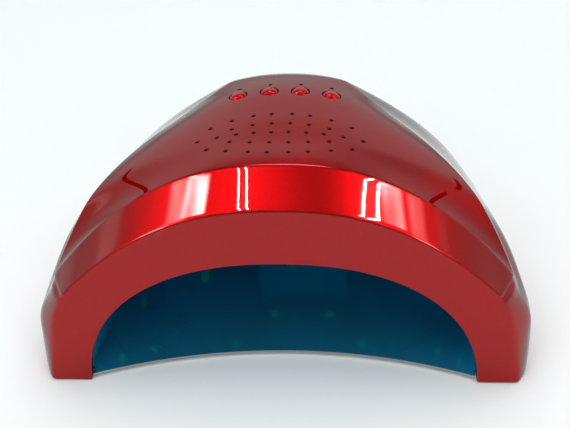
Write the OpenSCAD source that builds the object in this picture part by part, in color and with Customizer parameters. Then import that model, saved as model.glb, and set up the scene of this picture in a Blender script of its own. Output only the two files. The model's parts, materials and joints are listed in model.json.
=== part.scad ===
// Arch-fronted LED/UV gel curing lamp.
// Face of the lamp at y = 0 in the working frame, depth along +Y, floor at z = 0
// after the whole lamp is lifted onto its rubber pads. Millimetres throughout.

/* [Outer shell] */
// Overall depth, face to rear wall
body_l = 190; // [186:1:194]
// Wall thickness of the moulded shell
wall_t = 2.4; // [2.0:0.1:2.8]
// Half width of the face over the two feet
face_w = 92.4; // [91.5:0.1:93]
// Crown height of the face above the shell's rim
face_h = 76.5; // [75.5:0.5:77.5]
// Depth of the bevel that runs over the top of the face
bevel_d = 15; // [13:1:17]
// Half width of the hand opening at the feet
arch_w = 76.1; // [75.5:0.1:76.5]
// Height of the hand opening
arch_h = 53.7; // [52.5:0.1:54]
// Superellipse power of the hand opening
arch_n = 2.25; // [2.15:0.05:2.4]
// Radius of the rounding between sides and rear wall
rear_r = 14; // [10:1:16]

/* [Vents and buttons] */
// Diameter of the round vent holes
vent_d = 1.6; // [1.2:0.1:2.0]
// Side to side pitch of the four timer buttons
button_pitch = 12.6; // [12.4:0.1:12.8]
// Distance of the two middle buttons behind the face
button_y = 67; // [66:0.5:68]
// Diameter of a button cap
button_d = 6.8; // [6.4:0.1:7.0]
// Diameter of the button holes in the shell
button_hole_d = 7.6; // [7.4:0.1:7.8]
// Travel of a timer button
button_travel = 0.5; // [0.3:0.05:0.6]
// Diameter of the indicator pin holes
pin_hole_d = 1.5; // [1.3:0.1:1.6]

/* [Reflector and base plate] */
// Thickness of the folded mirror sheet
sheet_t = 1.0; // [0.8:0.1:1.2]
// Thickness of the protective film
film_t = 0.15; // [0.1:0.05:0.2]
// Diameter of the LED windows in the sheet
led_window_d = 5.6; // [5.2:0.1:6.0]
// Thickness of the mirror base plate
plate_t = 1.0; // [0.8:0.1:1.2]
// Distance of the base plate's hollow front edge behind the face, at the middle
plate_front_y = 17.7; // [16:0.1:19]
// Radius of the base plate's hollow front edge
plate_front_r = 178; // [176:1:190]

/* [Power] */
// Height of the power socket's axis above the shell's rim
jack_z = 16.5; // [16:0.5:17.5]
// Diameter of the socket's centre pin
jack_pin_d = 2.1; // [2.0:0.1:2.5]
// Diameter of the socket's barrel hole
jack_bore_d = 6.3; // [6.0:0.1:6.4]
// Diameter of the plug hole in the rear wall
jack_hole_d = 9.6; // [8.6:0.1:10]

/* [Hidden] */

$fn = 40;
pad_z = 0.6;            // rubber pads stand this far proud of the shell's rim
crown_n = 2.4;          // power of the crown curve across the top panel
clr = 0.3;

// Stations from face to rear wall, in the way a boat's lines are given:
// y, half width, height of the widest point, half width at the rim,
// crease half width, crease height, crown height, side slope at the crease
ST = [
  [0,       face_w,        12, face_w,        84,   39.6, face_h, 60],
  [bevel_d, face_w + 5.1,  20, face_w + 4.1,  90,   39.8, 88.2,   78],
  [32,      93,            23, 91.5,          75.5, 66,   90.6,   58],
  [50,      88,            24, 86.5,          58.5, 78,   93.1,   45],
  [68,      84,            24, 82.5,          40.5, 85,   94.7,   33],
  [84,      80,            24, 78.5,          24.5, 90.8, 93.7,   28],
  [104,     74.5,          22, 73,            19,   81,   85.8,   32],
  [128,     68,            20, 67,            20,   72,   74.5,   34],
  [156,     59.5,          18, 58.5,          23,   57.5, 60,     36],
  [body_l,  49,            16, 48.5,          26,   42,   43.5,   42]];
NS = len(ST);

// Harmonic-mean slopes keep the lines free of overshoot
function sec(c, i) = (ST[i + 1][c] - ST[i][c]) / (ST[i + 1][0] - ST[i][0]);
function slope(c, i) = i == 0 ? sec(c, 0) : i == NS - 1 ? sec(c, NS - 2)
  : sec(c, i - 1) * sec(c, i) <= 0 ? 0
  : 2 * sec(c, i - 1) * sec(c, i) / (sec(c, i - 1) + sec(c, i));
function seg(y, i = 0) = (i >= NS - 2 || y < ST[i + 1][0]) ? i : seg(y, i + 1);
function line(c, y) = let(i = seg(y), h = ST[i + 1][0] - ST[i][0], t = (y - ST[i][0]) / h)
  (1 + 2 * t) * (1 - t) * (1 - t) * ST[i][c] + t * (1 - t) * (1 - t) * h * slope(c, i)
  + t * t * (3 - 2 * t) * ST[i + 1][c] + t * t * (t - 1) * h * slope(c, i + 1);

// Half section at one station, from the rim over the widest point and the crease
// to the crown
N1 = 2;
N2 = 8;
N3 = 9;
NH = N1 + N2 + N3;
function bez(a, b, c, d, t) = (1 - t) * (1 - t) * (1 - t) * a + 3 * (1 - t) * (1 - t) * t * b
  + 3 * (1 - t) * t * t * c + t * t * t * d;
function half(y) = let(ww = line(1, y), zw = line(2, y), wb = line(3, y), xc = line(4, y),
    zc = line(5, y), h = line(6, y), th = line(7, y),
    l1 = 0.45 * (zc - zw), l2 = 0.4 * norm([ww - xc, zc - zw]),
    b1 = [ww, zw + l1], b2 = [xc + l2 * cos(th), zc - l2 * sin(th)])
  [for (i = [0:N1 - 1]) let(t = i / N1) [ww - (ww - wb) * (1 - t) * (1 - t), zw * t],
   for (i = [0:N2 - 1]) bez([ww, zw], b1, b2, [xc, zc], i / N2),
   for (i = [0:N3]) let(s = 1 - i / N3) [xc * s, zc + (h - zc) * (1 - pow(s, crown_n))]];
Q0 = half(0);
Q1 = half(bevel_d);
// Between face and bevel the top runs straight and the flank swells out in a curve
function front_half(y) = let(t = y / bevel_d)
  [for (i = [0:NH]) let(b = i < N1 + N2 ? 1 - (1 - t) * (1 - t) : t)
    Q0[i] * (1 - b) + Q1[i] * b];
function rear_s(y) = y <= body_l - rear_r ? 1
  : let(u = (y - body_l + rear_r) / rear_r) 1 - rear_r / line(1, y) * (1 - sqrt(max(0, 1 - u * u)));
function outline(y) = let(h = y < bevel_d ? front_half(y) : half(y) * rear_s(y))
  concat(h, [for (i = [1:NH]) [-h[NH - i][0], h[NH - i][1]]]);
NJ = 2 * NH;
// The same outline moved in by the wall thickness
function unit(v) = v / norm(v);
function inset(q, t) = t == 0 ? q : [for (j = [0:NJ])
  j == 0 ? [q[0][0] - t, 0] : j == NJ ? [q[NJ][0] + t, 0]
  : let(d = unit(q[j + 1] - q[j - 1])) q[j] + t * [-d[1], d[0]]];
// The arch, cut at the same bearings as the outline round it
function arch_at(q) = let(a = atan2(q[1] / face_h, abs(q[0]) / face_w))
  [sign(q[0]) * arch_w * pow(abs(cos(a)), 2 / arch_n), arch_h * pow(max(0, sin(a)), 2 / arch_n)];

RY = [0, bevel_d / 3, bevel_d * 2 / 3, bevel_d, 23, 32, 41, 50, 59, 68, 76, 84, 94, 104,
  116, 128, 142, 156, 167, body_l - rear_r, body_l - rear_r * 0.6, body_l - rear_r * 0.3,
  body_l - rear_r * 0.1, body_l];
NR = len(RY);
function at_y(q, y) = [for (p = q) [p[0], y, p[1]]];
function skin(t) = concat(
  [at_y([for (p = outline(0)) arch_at(p)], t)],
  [for (r = RY) let(y = t + r * (body_l - 2 * t) / body_l) at_y(inset(outline(y), t), y)]);

module shell_skin() {
  o = skin(0);
  n = skin(wall_t);
  R = NR + 1;
  W = NJ + 1;
  pts = concat([for (r = o) for (p = r) p], [for (r = n) for (p = r) p],
    [[0, body_l, 0], [0, body_l - wall_t, 0]]);
  I = R * W;
  CO = 2 * I;
  CI = CO + 1;
  faces = concat(
    [for (k = [0:R - 2], j = [0:NJ - 1]) [k * W + j, k * W + j + 1, (k + 1) * W + j + 1]],
    [for (k = [0:R - 2], j = [0:NJ - 1]) [k * W + j, (k + 1) * W + j + 1, (k + 1) * W + j]],
    [for (k = [0:R - 2], j = [0:NJ - 1]) [I + k * W + j, I + (k + 1) * W + j + 1, I + k * W + j + 1]],
    [for (k = [0:R - 2], j = [0:NJ - 1]) [I + k * W + j, I + (k + 1) * W + j, I + (k + 1) * W + j + 1]],
    [for (j = [0:NJ - 1]) [(R - 1) * W + j, (R - 1) * W + j + 1, CO]],
    [for (j = [0:NJ - 1]) [I + (R - 1) * W + j, CI, I + (R - 1) * W + j + 1]],
    [for (j = [0:NJ - 1]) [j, I + j, I + j + 1]],
    [for (j = [0:NJ - 1]) [j, I + j + 1, j + 1]],
    [for (k = [0:R - 2]) [k * W, (k + 1) * W, I + (k + 1) * W]],
    [for (k = [0:R - 2]) [k * W, I + (k + 1) * W, I + k * W]],
    [for (k = [0:R - 2]) [k * W + NJ, I + (k + 1) * W + NJ, (k + 1) * W + NJ]],
    [for (k = [0:R - 2]) [k * W + NJ, I + k * W + NJ, I + (k + 1) * W + NJ]],
    [[(R - 1) * W, CO, CI], [(R - 1) * W, CI, I + (R - 1) * W]],
    [[(R - 1) * W + NJ, CI, CO], [(R - 1) * W + NJ, I + (R - 1) * W + NJ, CI]]);
  polyhedron(points = pts, faces = faces, convexity = 8);
}

// Height of the outer surface over a point of the top panel
function crown(x, y) = let(xc = line(4, y), zc = line(5, y), h = line(6, y))
  zc + (h - zc) * (1 - pow(min(1, abs(x) / xc), crown_n));

// Vent rows: distance behind the face, bend of the row, and hole offsets
VENTS = [
  [49.2, -0.0088, [4, 11.2, 19.6, 27.7]],
  [42.5, -0.0072, [3.6, 11, 19]],
  [36.5, -0.0018, [3.4, 10.2, 17, 24.5]],
  [29.6, 0.005, [3.7, 11.2, 19.2, 32.2]],
  [22.7, 0.0072, [4.1, 11.5, 20.1, 28]]];
BX = [-1.5 * button_pitch, -0.5 * button_pitch, 0.5 * button_pitch, 1.5 * button_pitch];
function b_y(i) = button_y - (abs(BX[i]) > button_pitch ? 0.9 : 0);
function b_z(i) = crown(BX[i], b_y(i));
pin_back = 6.6;          // indicator pin holes lie this far behind the buttons

// Control board, hung under the top panel
cb_z = 81.6;             // underside
cb_t = 1.6;
CB_SCREWS = [[-24.5, 60], [24.5, 60], [-15, 79.5], [15, 79.5]];
FRAME_SCREWS = [[-88, 24], [88, 24], [-45, 152], [45, 152]];
frame_top = 4.4;
frame_bot = 0.4;

module lamp() { translate([0, -body_l / 2, pad_z]) children(); }

module top_shell() {
  color([0.62, 0.03, 0.06]) lamp() difference() {
    union() {
      shell_skin();
      // posts for the control board
      for (p = CB_SCREWS) translate([p[0], p[1], cb_z + cb_t])
        cylinder(d = 5, h = crown(p[0], p[1]) - cb_z - cb_t - 1.2);
      // posts for the base frame, each tied to the side wall by a web
      for (p = FRAME_SCREWS) {
        translate([p[0], p[1], frame_top]) cylinder(d = 6.4, h = 20);
        s = sign(p[0]);
        w = line(1, p[1]) - abs(p[0]) - 1.2;
        translate([s > 0 ? p[0] : p[0] - w, p[1] - 1, frame_top]) cube([w, 2, 20]);
      }
    }
    for (r = VENTS) for (x = r[2]) for (s = [-1, 1])
      translate([s * x, r[0] + r[1] * x * x, 75]) cylinder(d = vent_d, h = 30);
    for (i = [0:3]) {
      translate([BX[i], b_y(i), 87.6]) cylinder(d = button_hole_d, h = 30);
      translate([BX[i], b_y(i) + pin_back, 86]) cylinder(d = pin_hole_d, h = 30);
    }
    for (p = CB_SCREWS) translate([p[0], p[1], cb_z + cb_t - 1]) cylinder(d = 2.1, h = 5.4);
    for (p = FRAME_SCREWS) translate([p[0], p[1], frame_top - 1]) cylinder(d = 3.1, h = 13);
    translate([0, body_l - 6, jack_z]) rotate([-90, 0, 0]) cylinder(d = jack_hole_d, h = 20);
  }
}

/* Reflector: a convex folded tray. Each fold panel is a plane through three
   fold corners. */
function plane3(a, b, c) = let(n = unit(cross(b - a, c - a)), m = n * (a - [0, 50, 20]) < 0 ? -n : n)
  [m, m * a];
FC0 = [45, 3, 55];
FC1 = [45, 95, 49.5];
FC2 = [21, 128, 47.5];
FD = [60, 100, 35.3];
FM = [71, 3, 31];
FB0 = [77.5, 3, 3];
FB1 = [67.5, 100, 3];
FB2 = [0, 133.7, 3];
function mir(p) = [-p[0], p[1], p[2]];
P_C = plane3(FC0, FC1, mir(FC0));
P_S = plane3(FC0, FC1, FM);
P_G = plane3(FC1, FC2, FD);
P_W = plane3(FB0, FM, FD);
P_K = plane3(FD, FC2, FB1);
P_R = plane3(FC2, mir(FC2), FB2);
function mirp(p) = [mir(p[0]), p[1]];
PANELS = [P_C, P_S, mirp(P_S), P_G, mirp(P_G), P_W, mirp(P_W), P_K, mirp(P_K), P_R];

// children placed with z = 0 on a panel's inner face over the point p, +z outward
module on_panel(pl, p) {
  n = pl[0];
  translate(p + n * (pl[1] - n * p)) rotate([0, acos(n[2]), atan2(n[1], n[0])]) children();
}
module behind(pl, off) {
  n = pl[0];
  translate(n * (pl[1] + off)) rotate([0, acos(n[2]), atan2(n[1], n[0])])
    translate([-300, -300, 0]) cube([600, 600, 300]);
}
// block of air bounded by the panels, grown by off
module tray(off, y0, y1, z0) {
  difference() {
    translate([-100, y0, z0]) cube([200, y1 - y0, 70]);
    for (p = PANELS) behind(p, off);
  }
}
function panel_point(pl, x, y) = [x, y, (pl[1] - pl[0][0] * x - pl[0][1] * y) / pl[0][2]];
function wall_point(pl, y, z) = [(pl[1] - pl[0][1] * y - pl[0][2] * z) / pl[0][0], y, z];

LEDS_C = [for (q = [[13.3, 22], [29.2, 45], [13.3, 68], [29.2, 91], [13.3, 114]]) for (s = [-1, 1]) [s * q[0], q[1]]];
LEDS_S = [[63.3, 64.5], [63.3, 24], [52, 44], [52, 12]];
LEDS_W = [[33, 18], [73, 15]];
LEDS_K = [[113, 27], [121, 13]];
LEDS_R = [[-15, 18], [-5, 30], [5, 18], [15, 30]];
function led_c() = [for (q = LEDS_C) panel_point(P_C, q[0], q[1])];
function led_s() = [for (q = LEDS_S) panel_point(P_S, q[0], q[1])];
function led_w() = [for (q = LEDS_W) wall_point(P_W, q[0], q[1])];
function led_k() = [for (q = LEDS_K) wall_point(P_K, q[0], q[1])];
function led_r() = [for (q = LEDS_R) [q[0], (P_R[1] - P_R[0][2] * q[1]) / P_R[0][1], q[1]]];
module for_leds() {
  for (p = led_c()) on_panel(P_C, p) children();
  for (s = [0, 1]) mirror([s, 0, 0]) {
    for (p = led_s()) on_panel(P_S, p) children();
    for (p = led_w()) on_panel(P_W, p) children();
    for (p = led_k()) on_panel(P_K, p) children();
  }
  for (p = led_r()) on_panel(P_R, p) children();
}
SENSORS = [[0, 34], [0, 46]];

// Plan of the tray's foot and of the flange round it
function both_sides(h) = concat(h, [for (i = [1:len(h)]) [-h[len(h) - i][0], h[len(h) - i][1]]]);
TRAY_PLAN = both_sides([[77.5, 3], [67.5, 100], [24, 133.7]]);
FLANGE = both_sides([[84.1, 3], [83.6, 20], [80.6, 64], [70.2, 101], [70, 104.5], [31, 141]]);
REFL_SCREWS = [[82.2, 12], [78.4, 64], [52.3, 118]];

module reflector() {
  color([0.80, 0.82, 0.84]) lamp() difference() {
    union() {
      tray(sheet_t, 3, 160, frame_top);
      translate([0, 0, frame_top]) linear_extrude(sheet_t) polygon(FLANGE);
    }
    difference() {
      translate([-100, -10, 0]) cube([200, 170, 70]);
      for (p = PANELS) behind(p, 0);
    }
    for_leds() translate([0, 0, -2]) cylinder(d = led_window_d, h = 5);
    for (q = SENSORS) on_panel(P_C, panel_point(P_C, q[0], q[1])) translate([0, 0, -2]) cylinder(d = 4.2, h = 5);
    for (q = REFL_SCREWS) for (s = [-1, 1]) translate([s * q[0], q[1], 3]) cylinder(d = 2.7, h = 5);
  }
}

module reflector_film() {
  color([0.0, 0.35, 0.55]) lamp() difference() {
    tray(-0.02, 7, 160, frame_top + 0.2);
    difference() {
      translate([-100, -10, 0]) cube([200, 170, 70]);
      for (p = PANELS) behind(p, -0.02 - film_t);
    }
    for (q = SENSORS) on_panel(P_C, panel_point(P_C, q[0], q[1])) translate([0, 0, -2]) cylinder(d = 5.2, h = 5);
  }
}

plate_top = 2.2;
PLATE = both_sides([[75.6, 0.4], [75.6, 4.5], [79.5, 9], [79.5, 40], [76, 64], [70, 99], [27.5, 137.6]]);
module plate_plan(g = 0) {
  difference() {
    polygon([for (p = PLATE) [p[0] - sign(p[0]) * g, p[1] - (p[1] > 100 ? g : 0)]]);
    translate([0, plate_front_y + g - plate_front_r]) circle(r = plate_front_r, $fn = 180);
  }
}
module base_plate() {
  color([0.80, 0.82, 0.84]) lamp() translate([0, 0, plate_top - plate_t]) linear_extrude(plate_t) plate_plan();
}
module base_plate_film() {
  color([0.0, 0.35, 0.55]) lamp() translate([0, 0, plate_top]) linear_extrude(film_t) plate_plan(0.6);
}

MAGNETS = [[79, 30], [74, 78], [30, 134.6]];
module base_frame() {
  color([0.10, 0.10, 0.11]) lamp() difference() {
    translate([0, 0, frame_bot]) linear_extrude(frame_top - frame_bot)
      polygon(concat(
        [for (y = [3, 6, 9, 12, bevel_d, 20, 26, 32, 41, 50, 68, 84, 104, 128, 156, body_l - rear_r])
          [(y < bevel_d ? front_half(y)[0][0] : line(3, y)) - wall_t - 0.4, y]],
        [[45, body_l - 6], [40, body_l - wall_t - 0.4], [-40, body_l - wall_t - 0.4], [-45, body_l - 6]],
        [for (y = [body_l - rear_r, 156, 128, 104, 84, 68, 50, 41, 32, 26, 20, bevel_d, 12, 9, 6, 3])
          [-((y < bevel_d ? front_half(y)[0][0] : line(3, y)) - wall_t - 0.4), y]]));
    // recess for the base plate
    translate([0, 0, -1]) linear_extrude(3.4) polygon([for (p = PLATE)
      [p[0] + sign(p[0]) * 0.4, p[1] > 100 ? p[1] + 0.4 : p[1] < 1 ? -3 : p[1]]]);
    // window under the tray
    translate([0, 0, 1]) linear_extrude(8) polygon([for (p = TRAY_PLAN) p[1] < 4 ? [p[0], -3] : p]);
    for (q = MAGNETS) for (s = [-1, 1]) translate([s * q[0], q[1], 2]) cylinder(d = 5.02, h = 1.9);
    for (p = FRAME_SCREWS) translate([p[0], p[1], -1]) {
      cylinder(d = 3.3, h = 9);
      cylinder(d = 6, h = 3.0);
    }
    for (q = REFL_SCREWS) for (s = [-1, 1]) translate([s * q[0], q[1], 1.4]) cylinder(d = 2.5, h = 5);
    // cooling slots under the rear chamber
    for (x = [-24:8:24]) translate([x - 1.5, 160, -1]) cube([3, 14, 8]);
    for (p = DB_SCREWS) translate([p[0], p[1], 1.6]) cylinder(d = 2.5, h = 5);
  }
  color([0.10, 0.10, 0.11]) lamp() for (p = DB_SCREWS) difference() {
    translate([p[0], p[1], frame_top]) cylinder(d = 5.4, h = db_z - frame_top);
    translate([p[0], p[1], frame_top - 1]) cylinder(d = 2.5, h = 10);
  }
}

module plate_magnets() {
  color([0.75, 0.75, 0.78]) lamp() for (q = MAGNETS) for (s = [-1, 1])
    translate([s * q[0], q[1], 2.4]) cylinder(d = 5, h = 1.5);
}

// LED boards: flat aluminium-core boards on the back of each panel
board_t = 1.2;
module plane_board(pl, pts) {
  // pts: outline as x,y of points on the panel
  n = pl[0];
  intersection() {
    linear_extrude(90) polygon(pts);
    difference() {
      behind(pl, sheet_t);
      behind(pl, sheet_t + board_t);
    }
  }
}
module led_board_ceiling() {
  color([0.92, 0.92, 0.90]) lamp() difference() {
    plane_board(P_C, [[-36, 10], [36, 10], [36, 96], [22, 119], [-22, 119], [-36, 96]]);
    for (q = SENSORS) on_panel(P_C, panel_point(P_C, q[0], q[1])) cylinder(d = 4.6, h = 5);
    for (p = LB_SCREWS_C) on_panel(P_C, panel_point(P_C, p[0], p[1])) cylinder(d = 2.1, h = 5);
  }
}
LB_SCREWS_C = [[-30, 16], [30, 16], [0, 108]];
module slope_board() {
  plane_board(P_S, [[49, 7], [66.5, 7], [66, 72], [49, 82]]);
}
module led_board_slope_right() { color([0.92, 0.92, 0.90]) lamp() slope_board(); }
module led_board_slope_left() { color([0.92, 0.92, 0.90]) lamp() mirror([1, 0, 0]) slope_board(); }
module wall_board() {
  // strip on the side wall, seen along the wall
  intersection() {
    translate([50, 22, 10]) cube([40, 62, 15]);
    difference() { behind(P_W, sheet_t); behind(P_W, sheet_t + board_t); }
  }
}
module led_board_wall_right() { color([0.92, 0.92, 0.90]) lamp() wall_board(); }
module led_board_wall_left() { color([0.92, 0.92, 0.90]) lamp() mirror([1, 0, 0]) wall_board(); }
module corner_board() {
  intersection() {
    translate([20, 108, 8.5]) cube([40, 17, 24]);
    difference() { behind(P_K, sheet_t); behind(P_K, sheet_t + board_t); }
  }
}
module led_board_corner_right() { color([0.92, 0.92, 0.90]) lamp() corner_board(); }
module led_board_corner_left() { color([0.92, 0.92, 0.90]) lamp() mirror([1, 0, 0]) corner_board(); }
module led_board_rear() {
  color([0.92, 0.92, 0.90]) lamp() intersection() {
    translate([-19.5, 120, 11]) cube([39, 30, 26]);
    difference() { behind(P_R, sheet_t); behind(P_R, sheet_t + board_t); }
  }
}

// One ceramic LED: square base on the board, domed phosphor-free lens
module led() {
  translate([-1.75, -1.4, 0.25]) cube([3.5, 2.8, sheet_t - 0.25]);
  cylinder(d = 2.4, h = 0.4);
}
module uv_leds_ceiling() { color([0.85, 0.80, 0.35]) lamp() for (p = led_c()) on_panel(P_C, p) led(); }
module both() { for (s = [0, 1]) mirror([s, 0, 0]) children(); }
module uv_leds_slopes() { color([0.85, 0.80, 0.35]) lamp() both() for (p = led_s()) on_panel(P_S, p) led(); }
module uv_leds_walls() { color([0.85, 0.80, 0.35]) lamp() both() for (p = led_w()) on_panel(P_W, p) led(); }
module uv_leds_corners() { color([0.85, 0.80, 0.35]) lamp() both() for (p = led_k()) on_panel(P_K, p) led(); }
module uv_leds_rear() { color([0.85, 0.80, 0.35]) lamp() for (p = led_r()) on_panel(P_R, p) led(); }
module hand_sensors() {
  color([0.12, 0.10, 0.14]) lamp() for (q = SENSORS) on_panel(P_C, panel_point(P_C, q[0], q[1])) {
    translate([0, 0, 0.6]) cylinder(d = 3, h = 4);
    translate([0, 0, 0.6]) sphere(d = 3, $fn = 24);
    translate([0, 0, 4.2]) cylinder(d = 3.8, h = 1);
  }
}

/* Buttons. Cap with a retaining flange under the shell; a tactile switch on
   the control board pushes it back up. */
flange_r = 4.3;
function flange_top(i) = crown(abs(BX[i]) + flange_r, b_y(i)) - wall_t - 0.4;
module button_cap(i) {
  z = b_z(i);
  f = flange_top(i);
  color([0.75, 0.02, 0.03]) lamp() translate([BX[i], b_y(i), 0]) rotate_extrude($fn = 48) polygon(concat(
    [[0, f - 1.2], [flange_r, f - 1.2], [flange_r, f], [button_d / 2, f], [button_d / 2, z + 0.1]],
    [for (a = [0:10:90]) [button_d / 2 - 1.2 + 1.2 * cos(a), z + 0.1 + 1.1 * sin(a)]],
    [[button_d / 4, z + 1.35], [0, z + 1.42]]));
}
module button_1() button_cap(0);
module button_2() button_cap(1);
module button_3() button_cap(2);
module button_4() button_cap(3);
function plunger_top(i) = flange_top(i) - 1.2;
sw_z = cb_z + cb_t;
module plunger(i) {
  color([0.05, 0.05, 0.05]) lamp() translate([BX[i], b_y(i), sw_z + 1.4])
    cylinder(d = 3, h = plunger_top(i) - sw_z - 1.4, $fn = 32);
}
module switch_plunger_1() plunger(0);
module switch_plunger_2() plunger(1);
module switch_plunger_3() plunger(2);
module switch_plunger_4() plunger(3);
module switch_bodies() {
  color([0.55, 0.56, 0.58]) lamp() for (i = [0:3]) translate([BX[i], b_y(i), sw_z]) difference() {
    translate([-2.6, -2.6, 0]) cube([5.2, 5.2, 3.2]);
    translate([0, 0, 0.6]) cylinder(d = 3.1, h = 5);
  }
}
CB = [[-29, 56], [29, 56], [29, 66], [19, 83], [-19, 83], [-29, 66]];
module control_board() {
  color([0.05, 0.28, 0.14]) lamp() difference() {
    translate([0, 0, cb_z]) linear_extrude(cb_t) polygon(CB);
    for (p = CB_SCREWS) translate([p[0], p[1], cb_z - 1]) cylinder(d = 2.2, h = 5);
  }
}
module control_chip() {
  color([0.06, 0.06, 0.07]) lamp() {
    translate([-5, 61, cb_z - 1.5]) cube([10, 5.4, 1.3]);
    for (i = [0:6]) for (y = [60.2, 65.4]) translate([-4.2 + i * 1.3, y, cb_z - 1.1]) cube([0.5, 1.6, 1.1]);
  }
}
module indicator_leds() {
  color([0.85, 0.15, 0.20]) lamp() for (i = [0:3]) translate([BX[i], b_y(i) + pin_back, sw_z]) {
    translate([-0.8, -0.8, 0]) cube([1.6, 1.6, 0.8]);
    cylinder(d = 1.2, h = 1.1);
  }
}
module light_pipes() {
  color([0.85, 0.85, 0.9]) lamp() for (i = [0:3]) let(z = crown(BX[i], b_y(i) + pin_back))
    translate([BX[i], b_y(i) + pin_back, sw_z + 1.3]) {
      cylinder(d = pin_hole_d - 0.1, h = z - 0.7 - sw_z - 1.3, $fn = 24);
      cylinder(d = 2.6, h = 2.2, $fn = 24);
    }
}
// Pan-head screw: shaft down from its head's underside at z = 0
module screw(d, l, dh, hh) {
  translate([0, 0, -l]) cylinder(d = d, h = l);
  difference() {
    cylinder(d1 = dh, d2 = dh * 0.82, h = hh);
    translate([-dh * 0.3, -0.25, hh * 0.5]) cube([dh * 0.6, 0.5, hh]);
    translate([-0.25, -dh * 0.3, hh * 0.5]) cube([0.5, dh * 0.6, hh]);
  }
}
module control_board_screws() {
  color([0.45, 0.45, 0.47]) lamp() for (p = CB_SCREWS) translate([p[0], p[1], cb_z])
    rotate([180, 0, 0]) screw(2, 5.4, 4, 1.4);
}

/* Driver board in the rear chamber */
db_z = 8.4;
db_t = 1.6;
DB_SCREWS = [[-33, 153], [33, 153], [-33, 178], [33, 178]];
module driver_board() {
  color([0.05, 0.28, 0.14]) lamp() difference() {
    translate([-37, 148.5, db_z]) cube([74, 37, db_t]);
    for (p = DB_SCREWS) translate([p[0], p[1], db_z - 1]) cylinder(d = 2.7, h = 5);
  }
}
module driver_board_screws() {
  color([0.45, 0.45, 0.47]) lamp() for (p = DB_SCREWS) translate([p[0], p[1], db_z + db_t]) screw(2.4, 6.4, 4.4, 1.6);
}
dt = db_z + db_t;
module driver_inductors() {
  color([0.20, 0.20, 0.21]) lamp() for (x = [-20, 20]) translate([x, 158, dt]) {
    cylinder(d = 11, h = 1.2);
    cylinder(d = 7.4, h = 8.4);
    translate([0, 0, 7.2]) cylinder(d = 11, h = 1.2);
  }
}
module driver_capacitors() {
  color([0.10, 0.12, 0.35]) lamp() for (x = [-20, -9.5]) translate([x, 172, dt]) {
    cylinder(d = 8, h = 12.5);
  }
}
module driver_transistors() {
  color([0.08, 0.08, 0.09]) lamp() for (x = [10, 17.5]) translate([x, 168, dt]) {
    cube([6.2, 6, 2.2]);
    translate([0.3, 5.9, 0]) cube([5.6, 2.4, 1.2]);
    for (k = [0, 2.2, 4.4]) translate([0.4 + k, -2.2, 0]) cube([0.9, 2.3, 0.8]);
  }
}
module driver_connectors() {
  color([0.93, 0.92, 0.88]) lamp() for (x = [-8, 0, 8]) difference() {
    translate([x - 3.4, 150, dt]) cube([6.8, 5.6, 7]);
    translate([x - 2.7, 150.7, dt + 1.2]) cube([5.4, 4.2, 8]);
  }
}

/* Power socket on the driver board, its barrel reaching the rear wall */
jy = body_l - wall_t - 0.3;
module dc_jack_housing() {
  color([0.07, 0.07, 0.08]) lamp() difference() {
    union() {
      translate([-4.5, jy - 13.6, dt]) cube([9, 10.4, jack_z + 4.5 - dt]);
      translate([-4.5, jy - 3.4, jack_z - 4.4]) cube([9, 3.4, 8.9]);
    }
    translate([0, jy - 10, jack_z]) rotate([-90, 0, 0]) cylinder(d = jack_bore_d, h = 20);
    translate([-0.73, jy - 20, jack_z - 0.73]) cube([1.46, 15, 1.46]);
    translate([-1.6, jy - 9.4, dt - 1]) cube([3.2, 5.4, 3.2]);
  }
}
module dc_jack_pin() {
  color([0.80, 0.78, 0.72]) lamp() translate([0, jy - 14.6, jack_z]) rotate([-90, 0, 0]) {
    cylinder(d = 3.4, h = 0.9);
    translate([-0.7, -0.7, 0]) cube([1.4, 1.4, 6]);
    translate([0, 0, 4.8]) cylinder(d = jack_pin_d, h = 8.4);
  }
}
module dc_jack_contacts() {
  color([0.80, 0.78, 0.72]) lamp() {
    translate([-1.3, jy - 8.8, dt]) cube([2.6, 4.4, 0.5]);
    translate([-1.3, jy - 8.8, dt]) cube([2.6, 0.5, 1.9]);
  }
}

/* Leads, swept along hand-chosen route points with eight sides */
function dirv(r, i) = unit(r[min(len(r) - 1, i + 1)] - r[max(0, i - 1)]);
module tube(r, d) {
  n = len(r);
  m = 8;
  pts = [for (i = [0:n - 1]) let(t = dirv(r, i), a = abs(t[0]) < 0.8 ? unit(cross(t, [1, 0, 0])) : unit(cross(t, [0, 1, 0])), b = cross(t, a))
    for (k = [0:m - 1]) r[i] + d / 2 * (cos(k * 360 / m) * a + sin(k * 360 / m) * b)];
  faces = concat([[for (k = [0:m - 1]) k]],
    [for (i = [0:n - 2], k = [0:m - 1]) [i * m + k, (i + 1) * m + k, (i + 1) * m + (k + 1) % m]],
    [for (i = [0:n - 2], k = [0:m - 1]) [i * m + k, (i + 1) * m + (k + 1) % m, i * m + (k + 1) % m]],
    [[for (k = [m - 1:-1:0]) (n - 1) * m + k]]);
  polyhedron(points = pts, faces = faces);
}
module control_lead() {
  color([0.75, 0.75, 0.76]) lamp() for (o = [-1.2, 0, 1.2])
    tube([[o, 153, 19.4], [o, 153, 26], [o, 149, 34], [o, 142, 44], [o, 132, 54], [o, 120, 61],
      [o, 106, 67], [o, 92, 72], [o, 82, 75.5], [o, 76, 78], [o, 75, 81.4]], 1);
}
module led_leads() {
  color([0.70, 0.08, 0.08]) lamp() for (s = [-1, 1])
    tube([[s * 8, 153, 19.4], [s * 8, 153, 26], [s * 9, 150, 34], [s * 10, 144, 42],
      [s * 11, 136, 48.5], [s * 12, 128, 52.4], [s * 12, 118, 52.6], [s * 12, 110, 51.8]], 1.4);
}

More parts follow.
